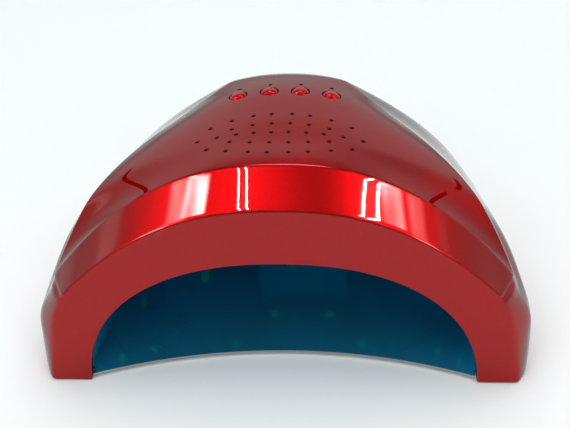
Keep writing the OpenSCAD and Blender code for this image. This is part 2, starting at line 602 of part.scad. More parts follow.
module reflector_screws() {
  color([0.45, 0.45, 0.47]) lamp() for (q = REFL_SCREWS) for (s = [-1, 1])
    translate([s * q[0], q[1], frame_top + sheet_t]) screw(2.4, 3.4, 3.9, 1.3);
}
module led_board_screws() {
  color([0.45, 0.45, 0.47]) lamp() for (p = LB_SCREWS_C) on_panel(P_C, panel_point(P_C, p[0], p[1]))
    translate([0, 0, sheet_t + board_t]) screw(2, board_t, 3.6, 1.2);
}
module frame_screws() {
  color([0.45, 0.45, 0.47]) lamp() for (p = FRAME_SCREWS) translate([p[0], p[1], 2])
    rotate([180, 0, 0]) screw(3, 12, 5.6, 1.5);
}
FEET = [[-86.2, 9], [86.2, 9], [-34, 160], [34, 160]];
module rubber_feet() {
  color([0.05, 0.05, 0.05]) lamp() for (p = FEET) translate([p[0], p[1], -pad_z])
    cylinder(d = p[1] < 50 ? 7 : 10, h = frame_bot + pad_z);
}

top_shell();
base_frame();
reflector();
reflector_film();
base_plate();
base_plate_film();
plate_magnets();
led_board_ceiling();
led_board_slope_left();
led_board_slope_right();
led_board_wall_left();
led_board_wall_right();
led_board_corner_left();
led_board_corner_right();
led_board_rear();
uv_leds_ceiling();
uv_leds_slopes();
uv_leds_walls();
uv_leds_corners();
uv_leds_rear();
hand_sensors();
button_1();
button_2();
button_3();
button_4();
switch_plunger_1();
switch_plunger_2();
switch_plunger_3();
switch_plunger_4();
switch_bodies();
control_board();
control_chip();
indicator_leds();
light_pipes();
control_board_screws();
driver_board();
driver_inductors();
driver_capacitors();
driver_transistors();
driver_connectors();
driver_board_screws();
dc_jack_housing();
dc_jack_pin();
dc_jack_contacts();
control_lead();
led_leads();
reflector_screws();
led_board_screws();
frame_screws();
rubber_feet();
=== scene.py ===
"""Looks for the UV curing lamp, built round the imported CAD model. Metres, +Z up, face toward -Y."""
import json
import math
import bpy
import bmesh
import numpy as np
from mathutils import Matrix, Vector


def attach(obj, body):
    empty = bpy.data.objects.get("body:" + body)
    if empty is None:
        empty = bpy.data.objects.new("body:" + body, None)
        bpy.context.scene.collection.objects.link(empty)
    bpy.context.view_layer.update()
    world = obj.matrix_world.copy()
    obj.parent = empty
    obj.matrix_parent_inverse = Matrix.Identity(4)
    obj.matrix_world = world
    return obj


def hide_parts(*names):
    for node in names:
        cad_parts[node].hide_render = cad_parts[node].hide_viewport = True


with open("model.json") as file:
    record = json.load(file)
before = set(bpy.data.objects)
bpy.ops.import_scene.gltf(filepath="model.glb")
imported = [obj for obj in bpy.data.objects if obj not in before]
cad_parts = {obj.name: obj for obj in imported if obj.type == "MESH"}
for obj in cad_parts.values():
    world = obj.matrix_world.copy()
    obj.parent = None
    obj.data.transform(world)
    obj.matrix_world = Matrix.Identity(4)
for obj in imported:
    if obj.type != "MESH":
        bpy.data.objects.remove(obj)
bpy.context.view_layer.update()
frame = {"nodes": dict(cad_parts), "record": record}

scene = bpy.context.scene
ALL = frame["nodes"]
BODY = "lamp_body"
MM = 0.001
L_BODY, PAD = 190.0, 0.6          # depth of the body, height of the rubber pads


def to_row(p):
    """Working millimetres (face at y = 0, rim at z = 0) to the row frame in metres."""
    p = np.asarray(p, float)
    return (p + np.array([0.0, -L_BODY / 2, PAD])) * MM


# ---------------------------------------------------------------- camera
cam_data = bpy.data.cameras.new("camera")
cam = bpy.data.objects.new("camera", cam_data)
scene.collection.objects.link(cam)
cam_data.sensor_width = 36.0
cam_data.lens = 88.42
cam_data.shift_x = -0.0056
cam_data.shift_y = 0.0266
cam_data.clip_start = 0.01
cam_data.clip_end = 50
R = Vector((0.99731702, 0.06323590, -0.03687805))
U = Vector((0.00018130, 0.50163844, 0.86507737))
B = R.cross(U).normalized()
m = Matrix.Identity(4)
for i in range(3):
    m[i][0], m[i][1], m[i][2] = R[i], U[i], B[i]
m.translation = Vector((0.0426502, -0.5421684, 0.3290769))
cam.matrix_world = m
scene.camera = cam

# ---------------------------------------------------------------- node helpers


class Tree:
    def __init__(self, name):
        self.mat = bpy.data.materials.new(name)
        self.mat.use_nodes = True
        self.nt = self.mat.node_tree
        self.bsdf = self.nt.nodes["Principled BSDF"]
        self.out = self.nt.nodes["Material Output"]

    def n(self, kind, **kw):
        node = self.nt.nodes.new(kind)
        for k, v in kw.items():
            if k.startswith("in_"):
                node.inputs[int(k[3:])].default_value = v
            else:
                setattr(node, k, v)
        return node

    def link(self, a, b):
        self.nt.links.new(a, b)

    def set(self, **kw):
        for k, v in kw.items():
            self.bsdf.inputs[k.replace("_", " ")].default_value = v

    def coords(self, scale=1.0):
        tc = self.n("ShaderNodeTexCoord")
        if scale == 1.0:
            return tc.outputs["Object"]
        mp = self.n("ShaderNodeMapping")
        mp.inputs["Scale"].default_value = (scale, scale, scale) if not isinstance(scale, tuple) else scale
        self.link(tc.outputs["Object"], mp.inputs["Vector"])
        return mp.outputs["Vector"]

    def noise(self, scale, detail=3.0, rough=0.55, vec=None):
        t = self.n("ShaderNodeTexNoise")
        t.inputs["Scale"].default_value = scale
        t.inputs["Detail"].default_value = detail
        t.inputs["Roughness"].default_value = rough
        self.link(vec or self.coords(), t.inputs["Vector"])
        return t.outputs["Fac"]

    def ramp(self, fac, stops):
        r = self.n("ShaderNodeValToRGB")
        e = r.color_ramp.elements
        while len(e) < len(stops):
            e.new(0.5)
        for el, (p, c) in zip(e, stops):
            el.position = p
            el.color = c if len(c) == 4 else (*c, 1)
        self.link(fac, r.inputs["Fac"])
        return r.outputs["Color"]

    def span(self, fac, lo, hi, a=0.25, b=0.75):
        r = self.n("ShaderNodeMapRange")
        r.inputs["From Min"].default_value = a
        r.inputs["From Max"].default_value = b
        r.inputs["To Min"].default_value = lo
        r.inputs["To Max"].default_value = hi
        self.link(fac, r.inputs["Value"])
        return r.outputs["Result"]

    def bump(self, height, strength, dist, prev=None, socket="Normal"):
        b = self.n("ShaderNodeBump")
        b.inputs["Strength"].default_value = strength
        b.inputs["Distance"].default_value = dist
        self.link(height, b.inputs["Height"])
        if prev is not None:
            self.link(prev, b.inputs["Normal"])
        if socket:
            self.link(b.outputs["Normal"], self.bsdf.inputs[socket])
        return b.outputs["Normal"]


def plain(name, col, metal=0.0, rough=0.5, var=0.12, rvar=0.08, scale=300.0, bump=0.1, dist=0.00005,
          coat=0.0, ior=1.5, spec=0.5, coarse=40.0):
    """Moulded or metal surface with fine colour and roughness variation and a fine bump."""
    t = Tree(name)
    t.set(Metallic=metal, Coat_Weight=coat, IOR=ior, Coat_Roughness=0.06)
    t.bsdf.inputs["Specular IOR Level"].default_value = spec
    a = t.noise(scale, 4.0)
    b = t.noise(coarse, 2.0)
    lo = tuple(max(0.0, c * (1 - var)) for c in col)
    hi = tuple(min(1.0, c * (1 + var)) for c in col)
    t.link(t.ramp(b, [(0.3, lo), (0.7, hi)]), t.bsdf.inputs["Base Color"])
    t.link(t.span(a, max(0.02, rough - rvar), min(1.0, rough + rvar)), t.bsdf.inputs["Roughness"])
    if bump:
        t.bump(a, bump, dist)
    return t.mat


def brushed(name, col, rough=0.25, direction=(1, 60, 60), bump=0.15):
    t = Tree(name)
    t.set(Metallic=1.0)
    v = t.coords(tuple(float(c) for c in direction))
    a = t.noise(18.0, 5.0, 0.6, v)
    b = t.noise(25.0, 2.0)
    t.link(t.ramp(b, [(0.3, tuple(c * 0.93 for c in col)), (0.7, tuple(min(1, c * 1.05) for c in col))]), t.bsdf.inputs["Base Color"])
    t.link(t.span(a, rough - 0.07, rough + 0.1), t.bsdf.inputs["Roughness"])
    t.bump(a, bump, 0.00003)
    return t.mat


# ---------------------------------------------------------------- materials
def shell_paint():
    """Candy red: metal flake under tinted lacquer, clear coat on top."""
    t = Tree("candy_red_paint")
    t.set(Metallic=1.0, Coat_Weight=1.0, Coat_Roughness=0.02, Coat_IOR=1.4)
    t.bsdf.inputs["Specular IOR Level"].default_value = 0.1
    t.bsdf.inputs["Specular Tint"].default_value = (0.02, 0.0, 0.0, 1)     # the lacquer swallows the flake at low angles
    flake = t.n("ShaderNodeTexVoronoi", feature="F1")
    flake.inputs["Scale"].default_value = 3200.0
    t.link(t.coords(), flake.inputs["Vector"])
    mottle = t.noise(55.0, 3.0)
    f = t.n("ShaderNodeSeparateColor")
    t.link(flake.outputs["Color"], f.inputs["Color"])
    col_a = t.ramp(f.outputs[0], [(0.0, (0.35, 0.001, 0.0015)), (0.75, (0.375, 0.0012, 0.002)), (1.0, (0.42, 0.002, 0.003))])
    tint = t.ramp(mottle, [(0.3, (0.95, 0.95, 0.95)), (0.7, (1.0, 1.0, 1.0))])
    mix = t.n("ShaderNodeMix", data_type="RGBA", blend_type="MULTIPLY")
    mix.inputs["Factor"].default_value = 1.0
    t.link(col_a, mix.inputs[6])
    t.link(tint, mix.inputs[7])
    t.link(mix.outputs[2], t.bsdf.inputs["Base Color"])
    t.link(t.span(f.outputs[1], 0.33, 0.39, 0.0, 1.0), t.bsdf.inputs["Roughness"])
    t.bump(f.outputs[2], 0.03, 0.00001)
    # very slight orange peel in the lacquer
    peel = t.n("ShaderNodeBump")
    peel.inputs["Strength"].default_value = 0.006
    peel.inputs["Distance"].default_value = 0.0002
    t.link(t.noise(420.0, 1.0), peel.inputs["Height"])
    t.link(peel.outputs["Normal"], t.bsdf.inputs["Coat Normal"])
    return t.mat


def button_paint():
    t = Tree("button_red_gloss")
    t.set(Metallic=0.9, Coat_Weight=1.0, Coat_Roughness=0.03, Coat_IOR=1.35)
    t.bsdf.inputs["Specular IOR Level"].default_value = 0.1
    t.bsdf.inputs["Specular Tint"].default_value = (0.35, 0.0, 0.0, 1)
    a = t.noise(900.0, 3.0)
    t.link(t.ramp(a, [(0.3, (0.46, 0.0015, 0.003)), (0.7, (0.52, 0.002, 0.004))]), t.bsdf.inputs["Base Color"])
    t.link(t.span(a, 0.26, 0.38), t.bsdf.inputs["Roughness"])
    t.bump(a, 0.05, 0.00002)
    return t.mat


def mirror(name, col, rough):
    t = Tree(name)
    t.set(Metallic=1.0)
    wav = t.noise(14.0, 1.5)
    fine = t.noise(600.0, 3.0)
    t.link(t.ramp(wav, [(0.3, tuple(c * 0.97 for c in col)), (0.7, col)]), t.bsdf.inputs["Base Color"])
    t.link(t.span(fine, max(0.01, rough - 0.02), rough + 0.03), t.bsdf.inputs["Roughness"])
    t.bump(wav, 0.05, 0.001)
    return t.mat


def plate_metal():
    """Polished on both faces, dull at the cut edge."""
    t = Tree("mirror_plate")
    t.set(Metallic=1.0)
    geo = t.n("ShaderNodeNewGeometry")
    sep = t.n("ShaderNodeSeparateXYZ")
    t.link(geo.outputs["Normal"], sep.inputs[0])
    wav = t.noise(14.0, 1.5)
    fine = t.noise(600.0, 3.0)
    face = t.ramp(t.span(sep.outputs[2], 0.0, 1.0, -1.0, 1.0), [(0.2, (0.84, 0.85, 0.86)), (0.3, (0.40, 0.43, 0.43)), (0.8, (0.40, 0.43, 0.43)), (0.9, (0.55, 0.82, 0.86))])
    t.link(face, t.bsdf.inputs["Base Color"])
    t.link(t.span(fine, 0.04, 0.10), t.bsdf.inputs["Roughness"])
    t.bump(wav, 0.05, 0.001)
    return t.mat


def film(name, clear, body, share, rough, rear_shade=1.0):
    """Thin blue protective film: light passes tinted, part of it shows as the film's own gloss."""
    t = Tree(name)
    t.set(Metallic=0.0, IOR=1.45, Coat_Weight=0.3, Coat_Roughness=0.08)
    wav = t.noise(30.0, 3.0)
    fine = t.noise(500.0, 2.0)
    t.link(t.ramp(wav, [(0.3, tuple(c * 0.85 for c in body)), (0.7, body)]), t.bsdf.inputs["Base Color"])
    t.link(t.span(fine, rough - 0.05, rough + 0.08), t.bsdf.inputs["Roughness"])
    t.bump(wav, 0.08, 0.0006)
    tr = t.n("ShaderNodeBsdfTransparent")
    tr.inputs["Color"].default_value = (*clear, 1)
    if rear_shade < 1.0:                                     # painted shade: the film's clear tint darkens towards the rear of the tray
        sep = t.n("ShaderNodeSeparateXYZ")
        t.link(t.coords(), sep.inputs[0])
        t.link(t.ramp(t.span(sep.outputs[1], 0.0, 1.0, 0.0, 0.04), [(0.2, clear), (0.75, tuple(c * rear_shade for c in clear))]), tr.inputs["Color"])
    mx = t.n("ShaderNodeMixShader")
    mx.inputs["Fac"].default_value = share
    t.link(tr.outputs[0], mx.inputs[1])
    t.link(t.bsdf.outputs[0], mx.inputs[2])
    t.link(mx.outputs[0], t.out.inputs["Surface"])
    return t.mat


def frame_plastic():
    """Black moulding whose lip round the mirror plate shows the tray's bright turned edge."""
    t = Tree("black_abs_frame")
    t.bsdf.inputs["Specular IOR Level"].default_value = 0.5
    sep = t.n("ShaderNodeSeparateXYZ")
    t.link(t.coords(), sep.inputs[0])
    lip = t.span(sep.outputs[2], 0.0, 1.0, 0.0026, 0.0030)
    t.link(t.ramp(lip, [(0.3, (0.022, 0.022, 0.024)), (0.7, (0.80, 0.82, 0.84))]), t.bsdf.inputs["Base Color"])
    t.link(lip, t.bsdf.inputs["Metallic"])
    t.link(t.span(sep.outputs[2], 0.5, 0.25, 0.0026, 0.0030), t.bsdf.inputs["Roughness"])
    t.bump(t.noise(1400.0, 4.0), 0.25, 0.00004)
    return t.mat


M = {
    "shell": shell_paint(),
    "button": button_paint(),
    "raw": plain("raw_red_abs", (0.09, 0.003, 0.008), rough=0.6, scale=900, bump=0.2, spec=0.2),
    "frame": frame_plastic(),
    "black_plastic": plain("black_abs", (0.022, 0.022, 0.024), rough=0.5, scale=1400, bump=0.35, dist=0.00006),
    "mirror_sheet": mirror("mirror_sheet", (0.88, 0.89, 0.90), 0.05),
    "mirror_plate": plate_metal(),
    # the tray film's last argument, 0.88, is painted shade: its clear tint darkens to 0.88 towards the rear
    "film_tray": film("blue_film_tray", (0.50, 0.90, 0.97), (0.030, 0.50, 0.74), 0.25, 0.3, 0.88),
    "film_plate": film("blue_film_plate", (0.50, 0.89, 0.97), (0.030, 0.48, 0.74), 0.20, 0.25),
    "magnet": brushed("nickel", (0.72, 0.70, 0.66), 0.18, (30, 30, 30)),
    "led_board": plain("white_solder_mask", (0.84, 0.84, 0.80), rough=0.35, var=0.05, scale=500),
    "led": plain("led_package", (0.80, 0.80, 0.02), rough=0.25, coat=0.8, scale=900, bump=0.05),
    "sensor": plain("ir_window", (0.025, 0.012, 0.03), rough=0.12, coat=1.0, scale=600, bump=0.02),
    "switch_black": plain("black_nylon", (0.02, 0.02, 0.02), rough=0.45, scale=1200, bump=0.2),
    "switch_metal": brushed("switch_steel", (0.62, 0.63, 0.64), 0.25, (40, 2, 2)),
    "board": plain("green_solder_mask", (0.010, 0.13, 0.05), rough=0.3, coat=0.5, var=0.25, scale=800, bump=0.15, coarse=120),
    "chip": plain("moulded_epoxy", (0.02, 0.02, 0.022), rough=0.6, scale=1800, bump=0.4),
    "indicator": plain("indicator_lens", (0.07, 0.006, 0.03), rough=0.15, coat=1.0, scale=700, bump=0.03),
    "pipe": plain("light_pipe", (0.05, 0.006, 0.03), rough=0.1, coat=1.0, scale=700, bump=0.02),
    "screw": brushed("zinc_screw", (0.52, 0.52, 0.50), 0.28, (25, 25, 25)),
    "ferrite": plain("ferrite", (0.05, 0.05, 0.052), rough=0.7, scale=900, bump=0.5, dist=0.0001),
    "capacitor": plain("capacitor_sleeve", (0.01, 0.018, 0.13), rough=0.3, coat=0.4, scale=400),
    "white_plastic": plain("ivory_nylon", (0.75, 0.73, 0.65), rough=0.45, var=0.06, scale=700),
    "contact": brushed("tinned_brass", (0.76, 0.72, 0.62), 0.22, (3, 40, 3)),
    "grey_wire": plain("grey_pvc", (0.42, 0.42, 0.44), rough=0.5, scale=900),
    "red_wire": plain("red_pvc", (0.40, 0.012, 0.012), rough=0.45, scale=900),
    "rubber": plain("black_rubber", (0.016, 0.016, 0.016), rough=0.8, scale=1600, bump=0.5, dist=0.0001, spec=0.3),
}
SLOT_MAT = {
    "black_plastic": "black_plastic", "mirror_sheet": "mirror_sheet", "mirror_plate": "mirror_plate",
    "magnet": "magnet", "led_board": "led_board", "led_package": "led", "sensor": "sensor",
    "switch_black": "switch_black", "switch_metal": "switch_metal", "green_board": "board", "chip": "chip",
    "indicator": "indicator", "light_pipe": "pipe", "screw_steel": "screw", "ferrite": "ferrite",
    "capacitor": "capacitor", "white_plastic": "white_plastic", "contact": "contact", "grey_wire": "grey_wire",
    "red_wire": "red_wire", "rubber_pad": "rubber", "shell_paint": "shell", "button_red": "button",
}
# painted glow: the switched-off yellow packages get a faint emission, so that they still show through the film
led = M["led"].node_tree.nodes["Principled BSDF"]
led.inputs["Emission Color"].default_value = (0.9, 1.0, 0.0, 1)
led.inputs["Emission Strength"].default_value = 0.22
for sp in frame["record"]["subparts"]:
    name, slot = sp["node"], sp["material_slot"]
    key = {"reflector_film": "film_tray", "base_plate_film": "film_plate", "base_frame": "frame"}.get(name) or SLOT_MAT[slot]
    o = ALL[name]
    o.data.materials.clear()
    o.data.materials.append(M[key])

# ---------------------------------------------------------------- the shell's lines
FACE_W, FACE_H, BEVEL, ARCH_W, ARCH_H, ARCH_N, REAR_R, WALL, CROWN_N = 92.4, 76.5, 15.0, 76.1, 53.7, 2.25, 14.0, 2.4, 2.4
ST = np.array([
    [0, FACE_W, 12, FACE_W, 84, 39.6, FACE_H, 60],
    [BEVEL, FACE_W + 5.1, 20, FACE_W + 4.1, 90, 39.8, 88.2, 78],
    [32, 93, 23, 91.5, 75.5, 66, 90.6, 58],
    [50, 88, 24, 86.5, 58.5, 78, 93.1, 45],
    [68, 84, 24, 82.5, 40.5, 85, 94.7, 33],
    [84, 80, 24, 78.5, 24.5, 90.8, 93.7, 28],
    [104, 74.5, 22, 73, 19, 81, 85.8, 32],
    [128, 68, 20, 67, 20, 72, 74.5, 34],
    [156, 59.5, 18, 58.5, 23, 57.5, 60, 36],
    [L_BODY, 49, 16, 48.5, 26, 42, 43.5, 42]], float)
SECANT = (ST[1:] - ST[:-1]) / (ST[1:, :1] - ST[:-1, :1])
SLOPE = np.zeros_like(ST)
SLOPE[0], SLOPE[-1] = SECANT[0], SECANT[-1]
for k in range(1, len(ST) - 1):
    a, b = SECANT[k - 1], SECANT[k]
    ok = a * b > 0
    SLOPE[k] = np.where(ok, 2 * a * b / np.where(ok, a + b, 1), 0)


def lines(y):
    k = int(np.clip(np.searchsorted(ST[:, 0], y, side="right") - 1, 0, len(ST) - 2))
    h = ST[k + 1, 0] - ST[k, 0]
    t = (y - ST[k, 0]) / h
    return ((1 + 2 * t) * (1 - t) ** 2 * ST[k] + t * (1 - t) ** 2 * h * SLOPE[k]
            + t * t * (3 - 2 * t) * ST[k + 1] + t * t * (t - 1) * h * SLOPE[k + 1])


NA, NB, NF, NC, NR = 12, 52, 10, 64, 6     # rim side, flank, crease round, half top, rim round


def resample(q, n, end=False):
    s = np.concatenate([[0], np.cumsum(np.hypot(*np.diff(q, axis=0).T))])
    u = np.linspace(0, s[-1], n + 1)[: n + 1 if end else n]
    return np.stack([np.interp(u, s, q[:, 0]), np.interp(u, s, q[:, 1])], -1)


def cut(q, d, from_end):
    """The stretch of polyline q left after taking d off one end."""
    s = np.concatenate([[0], np.cumsum(np.hypot(*np.diff(q, axis=0).T))])
    c = s[-1] - d if from_end else d
    p = np.array([np.interp(c, s, q[:, 0]), np.interp(c, s, q[:, 1])])
    return np.vstack([q[s < c - 1e-9], p]) if from_end else np.vstack([p, q[s > c + 1e-9]])


def raw_half(y):
    _, ww, zw, wb, xc, zc, h, th = lines(y)
    th = math.radians(th)
    t = np.linspace(0, 1, 41)[:, None]
    p1 = np.concatenate([ww - (ww - wb) * (1 - t) ** 2, zw * t], 1)
    l1, l2 = 0.45 * (zc - zw), 0.4 * math.hypot(ww - xc, zc - zw)
    c = np.array([[ww, zw], [ww, zw + l1], [xc + l2 * math.cos(th), zc - l2 * math.sin(th)], [xc, zc]])
    t = np.linspace(0, 1, 161)[:, None]
    p2 = (1 - t) ** 3 * c[0] + 3 * (1 - t) ** 2 * t * c[1] + 3 * (1 - t) * t * t * c[2] + t ** 3 * c[3]
    s = 1 - np.linspace(0, 1, 241)[:, None] ** 1.2
    p3 = np.concatenate([xc * s, zc + (h - zc) * (1 - s ** CROWN_N)], 1)
    return p1, p2, p3


Q0, Q1 = raw_half(0), raw_half(BEVEL)


def parts_at(y):
    if y >= BEVEL:
        p = raw_half(y)
        if y > L_BODY - REAR_R:
            u = (y - L_BODY + REAR_R) / REAR_R
            k = 1 - REAR_R / lines(y)[1] * (1 - math.sqrt(max(0, 1 - u * u)))
            p = [a * k for a in p]
        return p
    t = y / BEVEL
    out = []
    for n, (a, b) in enumerate(zip(Q0, Q1)):
        w = t
        if n == 0:
            w = 1 - (1 - t) ** 2
        elif n == 1:       # the flank swells out and comes back to the bevel's end over its last eighth
            v = np.clip((1 - np.linspace(0, 1, len(a))) / 0.125, 0, 1)[:, None]
            v = v * v * (3 - 2 * v)
            w = t + v * t * (1 - t)
        q = a * (1 - w) + b * w
        q[:, 0] -= 1.9 * np.exp(-((q[:, 1] - 19) / 12) ** 2) * (1 - t) ** 2 * (1 if n < 2 else 0)     # feet nipped in at the face
        out.append(q)
    return out


def round_of(a, b, c, n):
    """n points of a quadratic round from a to c about corner b, without its last point."""
    t = (np.arange(n) / n)[:, None]
    return (1 - t) ** 2 * a + 2 * t * (1 - t) * b + t * t * c


def section(y, rim=0.7, crease=None):
    """Half section: rim round, rim side, flank, crease round, top to the crown."""
    p1, p2, p3 = parts_at(y)
    if crease is None:
        crease = np.interp(y, [0, 15, 30, 84, 100, 190], [0.5, 0.7, 0.9, 1.2, 3.5, 5.0])
    side = np.vstack([p1[:-1], p2])
    s0 = p1[0].copy()
    side = cut(side, rim, False)
    side = cut(side, crease, True)
    top = cut(p3, crease, False)
    flank_start = np.argmax(side[:, 1] >= lines(y)[2] * 0.98) if y < L_BODY - REAR_R else len(p1) - 4
    flank_start = max(flank_start, 3)
    return np.vstack([
        round_of(s0 - [rim, 0], s0, side[0], NR),
        resample(side[: flank_start + 1], NA), resample(side[flank_start:], NB),
        round_of(side[-1], p3[0], top[0], NF), resample(top, NC, True)])


def whole(h):
    return np.vstack([h, np.stack([-h[-2::-1, 0], h[-2::-1, 1]], -1)])


DY = 0.25
DENSE_Y = np.arange(0, 40 + DY / 2, DY)
DENSE = np.array([whole(section(y)) for y in DENSE_Y])      # near the bevel, rows close together
NJ = DENSE.shape[1]
IC = NR + NA + NB                                           # first column of the crease round
JHALF = (NJ - 1) // 2
COL = np.minimum(np.arange(NJ), NJ - 1 - np.arange(NJ))
ON_TOP = 1 / (1 + np.exp(-(COL - (IC + NF / 2)) / 2.0))     # 0 on the flank, 1 on the top


def at_y(yj):
    """One row of the skin with its own y in each column."""
    k = np.clip(yj / DY, 0, len(DENSE_Y) - 1.001)
    i = k.astype(int)
    f = (k - i)[:, None]
    j = np.arange(NJ)
    xz = DENSE[i, j] * (1 - f) + DENSE[i + 1, j] * f
    return np.stack([xz[:, 0], yj, xz[:, 1]], -1)


def arch_row():
    q = DENSE[0]
    a = np.arctan2(q[:, 1] / FACE_H, np.abs(q[:, 0]) / FACE_W)
    x = np.sign(q[:, 0]) * ARCH_W * np.abs(np.cos(a)) ** (2 / ARCH_N)
    z = ARCH_H * np.maximum(0, np.sin(a)) ** (2 / ARCH_N)
    h = np.stack([x, z], -1)
    c = h[NR]
    r = c[1]
    f = round_of(np.array([ARCH_W + r, 0.0]), np.array([c[0], 0.0]), c, NR)
    h[:NR] = f
    h[NJ - NR:] = np.stack([-f[::-1, 0], f[::-1, 1]], -1)
    return h


ARCH = arch_row()


def flat(xz, y):
    return np.stack([xz[:, 0], np.full(len(xz), float(y)), xz[:, 1]], -1)


# rounds along the meridians, set back further on the flanks than on the bevel
D0A = 0.75 + 0.5 * (1 - ON_TOP)       # on the face
D0B = 0.55 + 1.2 * (1 - ON_TOP)        # behind it
D1A = 0.55 + 2.5 * (1 - ON_TOP)
D1B = 0.75 + 4.0 * (1 - ON_TOP)
outline0 = flat(DENSE[0], 0)
arch0 = flat(ARCH, 0)
width = np.linalg.norm(outline0 - arch0, axis=1)[:, None]
direction = (outline0 - arch0) / width
ARCH_ROUND = 0.45
OUT, INN = [], []                       # outer rows and the inner rows that pair with them


def inset(h, t):
    d = np.empty_like(h)
    d[1:-1] = h[2:] - h[:-2]
    d[0], d[-1] = (0, 1), (0, -1)
    n = np.stack([-d[:, 1], d[:, 0]], -1)
    n /= np.linalg.norm(n, axis=1)[:, None] + 1e-12
    r = h + t * n
    r[:, 1] = np.maximum(r[:, 1], 0.0)
    r[0], r[-1] = (h[0, 0] - t + 0.7, 0), (h[-1, 0] + t - 0.7, 0)
    return r


def inner_at(y):
    yy = WALL + y * (L_BODY - 2 * WALL) / L_BODY
    return flat(inset(whole(section(yy)), WALL), yy)


inner_face_outline = inner_at(0)
inner_arch = flat(ARCH, WALL)


def add(row, inner):
    OUT.append(row)
    INN.append(inner)


arch_a = arch0 + [0, ARCH_ROUND, 0]
arch_c = arch0 + direction * ARCH_ROUND
for t in np.arange(5) / 5:
    add((1 - t) ** 2 * arch_a + 2 * t * (1 - t) * arch0 + t * t * arch_c,
        inner_arch + (inner_face_outline - inner_arch) * 0.02 * t)
face_end = outline0 - direction * np.minimum(D0A[:, None], width * 0.3)
for f in np.linspace(0, 1, 17):
    add(arch_c * (1 - f) + face_end * f, inner_arch * (1 - (0.04 + 0.93 * f)) + inner_face_outline * (0.04 + 0.93 * f))
bevel_start = at_y(D0B)
for t in np.arange(1, 8) / 8:
    add((1 - t) ** 2 * face_end + 2 * t * (1 - t) * outline0 + t * t * bevel_start,
        inner_arch * (0.03 * (1 - t)) + inner_face_outline * (1 - 0.03 * (1 - t)))
y_a, y_b = D0B, BEVEL - D1A
for f in np.linspace(0, 1, 15):
    y = y_a * (1 - f) + y_b * f
    add(at_y(y), inner_at(float(D0B[JHALF] * (1 - f) + (BEVEL - D1A[JHALF]) * f)))
corner1, bev_a, bev_c = at_y(np.full(NJ, BEVEL)), at_y(BEVEL - D1A), at_y(BEVEL + D1B)
for t in np.arange(1, 9) / 9:
    add((1 - t) ** 2 * bev_a + 2 * t * (1 - t) * corner1 + t * t * bev_c,
        inner_at(BEVEL - D1A[JHALF] + (D1A[JHALF] + D1B[JHALF]) * float(t)))
for f in np.linspace(0, 1, 14):
    y = (BEVEL + D1B) * (1 - f) + 36.0 * f
    add(at_y(y), inner_at(float((BEVEL + D1B[JHALF]) * (1 - f) + 36.0 * f)))
for y in np.concatenate([np.arange(37.6, L_BODY - REAR_R - 0.8, 1.6), [L_BODY - REAR_R]]):
    add(flat(whole(section(y)), y), inner_at(float(y)))
for a in np.radians(np.arange(7.5, 90.1, 7.5)):
    y = L_BODY - REAR_R + REAR_R * math.sin(a)
    add(flat(whole(section(y)), y), inner_at(float(y)))
back_o, back_i = OUT[-1].copy(), INN[-1].copy()
for f in (0.03, 0.1, 0.25, 0.5, 0.75):
    add(np.array([0, L_BODY, 0]) + (back_o - [0, L_BODY, 0]) * (1 - f),
        np.array([0, L_BODY - WALL, 0]) + (back_i - [0, L_BODY - WALL, 0]) * (1 - f))
NROW = len(OUT)


def build_shell():
    W = NJ
    verts = [to_row(r) for r in OUT] + [to_row(r) for r in INN]
    verts = np.concatenate(verts + [to_row([[0, L_BODY, 0], [0, L_BODY - WALL, 0]])])
    I = NROW * W
    CO, CI = 2 * I, 2 * I + 1
    f = []
    for k in range(NROW - 1):
        for j in range(W - 1):
            a, b, c, d = k * W + j, k * W + j + 1, (k + 1) * W + j + 1, (k + 1) * W + j
            f.append((a, b, c, d))
            f.append((I + a, I + d, I + c, I + b))
    for j in range(W - 1):
        f.append(((NROW - 1) * W + j, (NROW - 1) * W + j + 1, CO))
        f.append((I + (NROW - 1) * W + j, CI, I + (NROW - 1) * W + j + 1))
        f.append((j, I + j, I + j + 1, j + 1))
    for k in range(NROW - 1):
        f.append((k * W, (k + 1) * W, I + (k + 1) * W, I + k * W))
        f.append((k * W + W - 1, I + k * W + W - 1, I + (k + 1) * W + W - 1, (k + 1) * W + W - 1))
    e = (NROW - 1) * W
    f.append((e, CO, CI, I + e))
    f.append((e + W - 1, I + e + W - 1, CI, CO))
    me = bpy.data.meshes.new("shell")
    me.from_pydata(verts.tolist(), [], f)
    me.polygons.foreach_set("material_index", [1 if min(q) >= I and CO not in q else 0 for q in f])
    me.validate()
    bm = bmesh.new()
    bm.from_mesh(me)
    bmesh.ops.recalc_face_normals(bm, faces=bm.faces)
    if bm.calc_volume(signed=True) < 0:
        bmesh.ops.reverse_faces(bm, faces=bm.faces)
    bm.to_mesh(me)
    bm.free()
    ob = bpy.data.objects.new("shell", me)
    scene.collection.objects.link(ob)
    return ob


def crown(x, y):
    v = lines(y)
    return v[5] + (v[6] - v[5]) * (1 - min(1.0, abs(x) / v[4]) ** CROWN_N)


def lathe(profile, seg=48):
    """Closed solid of revolution about z from (r, z) pairs; first and last lie on the axis."""
    bm = bmesh.new()
    rings = []
    for r, z in profile:
        if r < 1e-7:
            rings.append([bm.verts.new((0, 0, z))])
        else:
            rings.append([bm.verts.new((r * math.cos(2 * math.pi * k / seg), r * math.sin(2 * math.pi * k / seg), z)) for k in range(seg)])
    for a, b in zip(rings, rings[1:]):
        for k in range(seg):
            q = (k + 1) % seg
            if len(a) == 1 and len(b) > 1:
                bm.faces.new((a[0], b[k], b[q]))
            elif len(b) == 1 and len(a) > 1:
                bm.faces.new((a[k], b[0], a[q]))
            elif len(a) > 1:
                bm.faces.new((a[k], b[k], b[q], a[q]))
    bmesh.ops.recalc_face_normals(bm, faces=bm.faces)
    return bm


